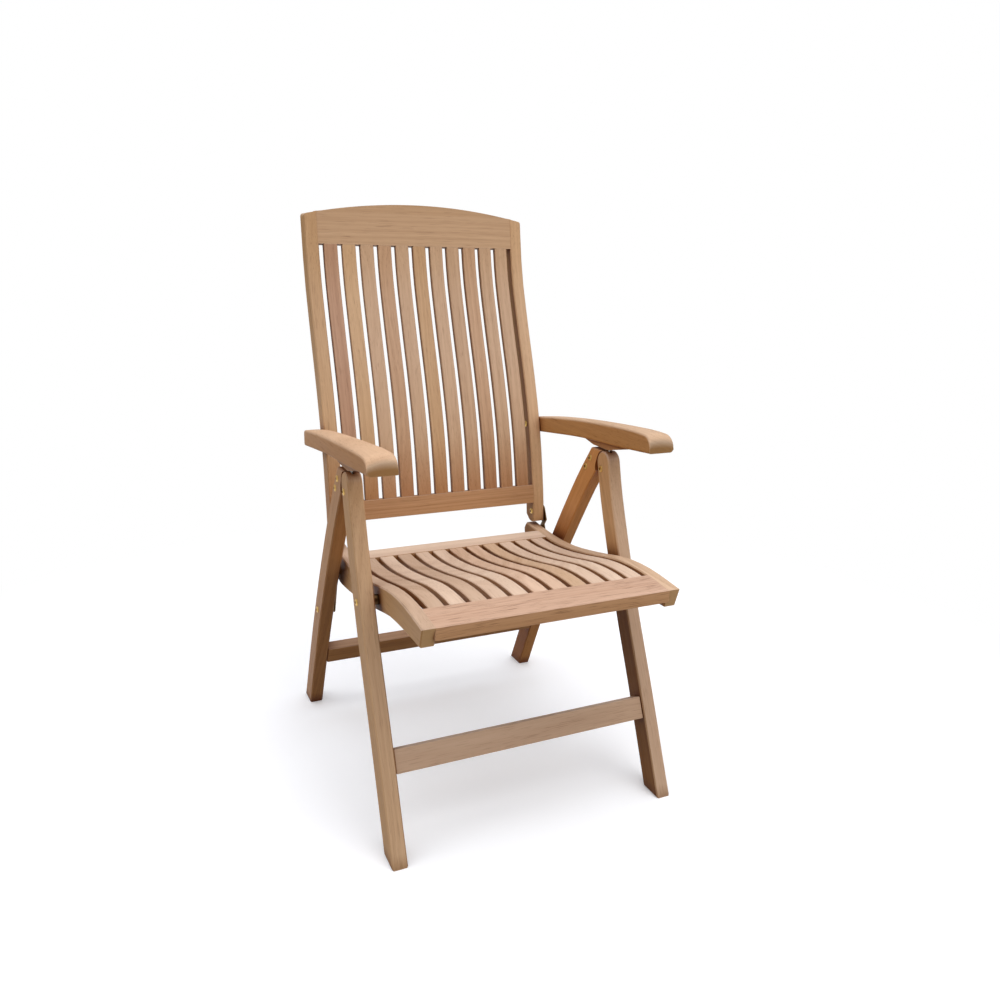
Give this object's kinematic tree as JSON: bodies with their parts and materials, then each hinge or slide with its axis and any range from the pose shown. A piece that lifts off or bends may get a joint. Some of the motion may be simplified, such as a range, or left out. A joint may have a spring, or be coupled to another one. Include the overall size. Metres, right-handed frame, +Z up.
{
  "type": "folding reclining garden armchair",
  "caption": "Folding hardwood patio armchair with a slatted high back, curved slatted seat, crossed legs and arms that notch onto the leg tops to set the recline.",
  "frame": {"origin": "on the ground under the middle of the chair's outline, standing open", "axes": "+Z up, +Y towards the back of the chair, +X to the right as seen by someone facing the front of the chair, which is the sitter's left; names ending in right lie on +X"},
  "size_m": [0.574, 0.7348, 1.0885],
  "materials": {
    "teak_frame": "oiled, fine sanded, satin",
    "teak_slats": "oiled, fine sanded, satin, paler than the frame",
    "brass": "lightly aged brass",
    "plated_steel": "dull zinc-plated strip"
  },
  "bodies": {
    "front_frame": {"front_leg_right": "teak_frame", "front_leg_left": "teak_frame", "front_leg_stretcher": "teak_frame", "leg_pivot_bolt_right": "brass", "leg_pivot_bolt_left": "brass", "seat_pivot_bolt_right": "brass", "seat_pivot_bolt_left": "brass"},
    "rear_frame": {"rear_leg_right": "teak_frame", "rear_leg_left": "teak_frame", "rear_leg_stretcher": "teak_frame", "leg_top_plate_right": "brass", "leg_top_plate_left": "brass", "rear_link_bolt_right": "brass", "rear_link_bolt_left": "brass"},
    "link_bars": {"link_bar_right": "plated_steel", "link_bar_left": "plated_steel"},
    "seat": {"seat_side_rail_right": "teak_frame", "seat_side_rail_left": "teak_frame", "seat_front_rail": "teak_frame", "seat_rear_rail": "teak_frame", "seat_slat_01": "teak_slats", "seat_slat_02": "teak_slats", "seat_slat_03": "teak_slats", "seat_slat_04": "teak_slats", "seat_slat_05": "teak_slats", "seat_slat_06": "teak_slats", "seat_slat_07": "teak_slats", "seat_slat_08": "teak_slats", "seat_slat_09": "teak_slats", "seat_slat_10": "teak_slats", "seat_slat_11": "teak_slats", "back_hinge_strap_right": "plated_steel", "back_hinge_strap_left": "plated_steel", "seat_link_pin_right": "brass", "seat_link_pin_left": "brass"},
    "hinge_bolts": {"back_hinge_bolt_right": "brass", "back_hinge_bolt_left": "brass"},
    "back": {"back_stile_right": "teak_frame", "back_stile_left": "teak_frame", "back_top_rail": "teak_frame", "back_bottom_rail": "teak_frame", "back_slat_01": "teak_slats", "back_slat_02": "teak_slats", "back_slat_03": "teak_slats", "back_slat_04": "teak_slats", "back_slat_05": "teak_slats", "back_slat_06": "teak_slats", "back_slat_07": "teak_slats", "back_slat_08": "teak_slats", "back_slat_09": "teak_slats", "back_slat_10": "teak_slats", "back_slat_11": "teak_slats"},
    "arm_bolts": {"arm_pivot_bolt_right": "brass", "arm_pivot_bolt_left": "brass"},
    "arms": {"arm_right": "teak_frame", "arm_left": "teak_frame", "arm_notch_rack_right": "teak_frame", "arm_notch_rack_left": "teak_frame"}
  },
  "joints": [
    {"name": "leg_fold", "type": "hinge", "parent": "front_frame", "child": "rear_frame", "pos_m": [0, -0.06636, 0.5816], "axis": [-1, 0, 0], "range_deg": [0, 48]},
    {"name": "seat_fold", "type": "hinge", "parent": "front_frame", "child": "seat", "pos_m": [0, -0.13986, 0.402], "axis": [-1, 0, 0], "range_deg": [0, 65.81]},
    {"name": "link_swing", "type": "hinge", "parent": "seat", "child": "link_bars", "pos_m": [0, 0.13664, 0.362], "axis": [-1, 0, 0], "range_deg": [0, 80.64]},
    {"name": "back_fold", "type": "hinge", "parent": "seat", "child": "hinge_bolts", "pos_m": [0, 0.16964, 0.431], "axis": [1, 0, 0], "range_deg": [0, 63.81]},
    {"name": "back_recline", "type": "hinge", "parent": "hinge_bolts", "child": "back", "pos_m": [0, 0.16384, 0.4324], "axis": [-1, 0, 0], "range_deg": [-9.3, 9.3]},
    {"name": "arm_fold", "type": "hinge", "parent": "back", "child": "arm_bolts", "pos_m": [0, 0.21364, 0.624], "axis": [-1, 0, 0], "range_deg": [0, 83.02]},
    {"name": "arm_level", "type": "hinge", "parent": "arm_bolts", "child": "arms", "pos_m": [0, 0.21364, 0.629], "axis": [-1, 0, 0], "range_deg": [-8.02, 8.02]}
  ],
  "couplings": [
    {"joint": "seat_fold", "follows": "leg_fold", "ratio": 1.3706},
    {"joint": "link_swing", "follows": "leg_fold", "ratio": 1.6796},
    {"joint": "back_fold", "follows": "leg_fold", "ratio": 1.329},
    {"joint": "arm_fold", "follows": "leg_fold", "ratio": 1.7292},
    {"joint": "arm_level", "follows": "back_recline", "ratio": -0.86}
  ]
}
